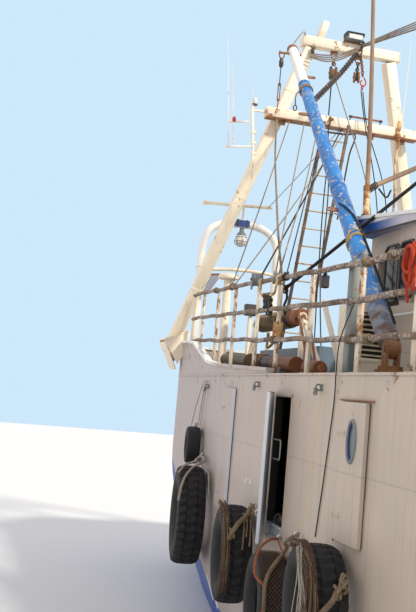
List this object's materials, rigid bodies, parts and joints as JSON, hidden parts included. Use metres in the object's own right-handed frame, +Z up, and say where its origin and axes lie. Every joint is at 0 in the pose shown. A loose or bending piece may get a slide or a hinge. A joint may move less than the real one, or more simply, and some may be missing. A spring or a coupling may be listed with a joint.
{
  "type": "fishing trawler",
  "caption": "Steel stern trawler afloat: decked hull with side doors, pipe rails, leaning stern gantry, derrick boom, net roller, winch, deckhouse, tyre fenders, rudder and propeller.",
  "frame": {"origin": "on the centreline amidships at the waterline", "axes": "+X towards the bow, +Y to port, +Z up"},
  "size_m": [21.95, 6.7151, 12.8606],
  "materials": {
    "hull": "worn satin paint, rust streaked",
    "antifoul": "matt antifouling",
    "cream": "worn gloss",
    "white": "gloss",
    "boom_blue": "worn gloss",
    "fascia_blue": "gloss",
    "rust": "rusted",
    "rail_brown": "rusted paint",
    "rubber": "matt",
    "grey_paint": "matt",
    "dark_steel": "matt",
    "net": "rough",
    "bronze": "dull",
    "varnish": "varnished",
    "panel": "matt"
  },
  "bodies": {
    "hull_body": {"arch_lamp": "grey_paint", "bitts_1": "dark_steel", "bitts_2": "dark_steel", "boom_heel": "rust", "boom_pedestal": "cream", "bow_bulwark": "hull", "floodlight": "dark_steel", "gantry_ladder": "dark_steel", "gantry_leg_port": "cream", "gantry_leg_starboard": "cream", "gantry_second_beam": "cream", "gantry_top_beam": "cream", "hatch_coaming": "panel", "house_aft": "hull", "house_front": "hull", "house_port": "hull", "house_roof": "fascia_blue", "house_starboard": "hull", "hull_bottom": "antifoul", "hull_topsides": "hull", "keel": "antifoul", "lamp_arch": "white", "louvre_casing": "cream", "rail_middle_port": "rail_brown", "rail_middle_starboard": "rail_brown", "rail_top_port": "rail_brown", "rail_top_starboard": "rail_brown", "railing_port": "cream", "railing_starboard": "cream", "roller_stand_aft": "cream", "roller_stand_fore": "cream", "roof_mast": "white", "roof_pole": "varnish", "stern_bulwark": "hull", "stern_bulwark_cap": "white", "stowed_roller": "grey_paint", "trawl_block_1": "rust", "trawl_block_2": "rust", "tyre_port_1": "rubber", "tyre_port_2": "rubber", "tyre_starboard_1": "rubber", "tyre_starboard_2": "rubber", "tyre_starboard_3": "rubber", "tyre_starboard_4": "rubber", "tyre_starboard_5": "rubber", "vent_1": "cream", "winch_bed": "grey_paint", "windlass": "dark_steel"},
    "boom_body": {"boom": "boom_blue"},
    "side_door_aft_leaf": {"side_door_aft": "hull"},
    "side_door_open_leaf": {"side_door_open": "hull"},
    "side_door_fore_leaf": {"side_door_fore": "hull", "porthole": "grey_paint"},
    "house_door_leaf": {"house_door": "varnish"},
    "hatch_lid_body": {"hatch_lid": "panel"},
    "net_roller_body": {"net_roller": "net"},
    "winch_drums_body": {"winch_drums": "rust"},
    "radar_body": {"radar_scanner": "white"},
    "rudder_body": {"rudder": "antifoul"},
    "propeller_body": {"propeller": "bronze"}
  },
  "joints": [
    {"name": "boom_topping", "type": "hinge", "parent": "hull_body", "child": "boom_body", "pos_m": [-0.56, -2.35, 3.975], "axis": [0.1386, 0.9903, 0], "range_deg": [-6, 35]},
    {"name": "side_door_aft_hinge", "type": "hinge", "parent": "hull_body", "child": "side_door_aft_leaf", "pos_m": [-5.05695, -2.77279, 2.67], "axis": [0, 0, 1], "range_deg": [-90, 0]},
    {"name": "side_door_open_hinge", "type": "hinge", "parent": "hull_body", "child": "side_door_open_leaf", "pos_m": [-2.48286, -2.87591, 2.6575], "axis": [0, 0, 1], "range_deg": [-69, 21]},
    {"name": "side_door_fore_hinge", "type": "hinge", "parent": "hull_body", "child": "side_door_fore_leaf", "pos_m": [-0.29662, -2.95159, 2.815], "axis": [0, 0, 1], "range_deg": [-90, 0]},
    {"name": "house_door_hinge", "type": "hinge", "parent": "hull_body", "child": "house_door_leaf", "pos_m": [0.826, -1.779, 4.6], "axis": [0, 0, 1], "range_deg": [0, 150]},
    {"name": "hatch_lid_hinge", "type": "hinge", "parent": "hull_body", "child": "hatch_lid_body", "pos_m": [-5.144, 0, 4.255], "axis": [0, 1, 0], "range_deg": [0, 100]},
    {"name": "net_roller_spin", "type": "hinge", "parent": "hull_body", "child": "net_roller_body", "pos_m": [-5.4, -1.93, 4.57], "axis": [1, 0, 0], "continuous": true},
    {"name": "winch_drums_spin", "type": "hinge", "parent": "hull_body", "child": "winch_drums_body", "pos_m": [-4.3, 0, 4.26], "axis": [0, 1, 0], "continuous": true},
    {"name": "radar_spin", "type": "hinge", "parent": "hull_body", "child": "radar_body", "pos_m": [1.5, 0, 8.225], "axis": [0, 0, 1], "continuous": true},
    {"name": "rudder_turn", "type": "hinge", "parent": "hull_body", "child": "rudder_body", "pos_m": [-9.9, 0, -1.2], "axis": [0, 0, 1], "range_deg": [-35, 35]},
    {"name": "propeller_spin", "type": "hinge", "parent": "hull_body", "child": "propeller_body", "pos_m": [-9.05, 0, -1.05], "axis": [1, 0, 0], "continuous": true}
  ]
}
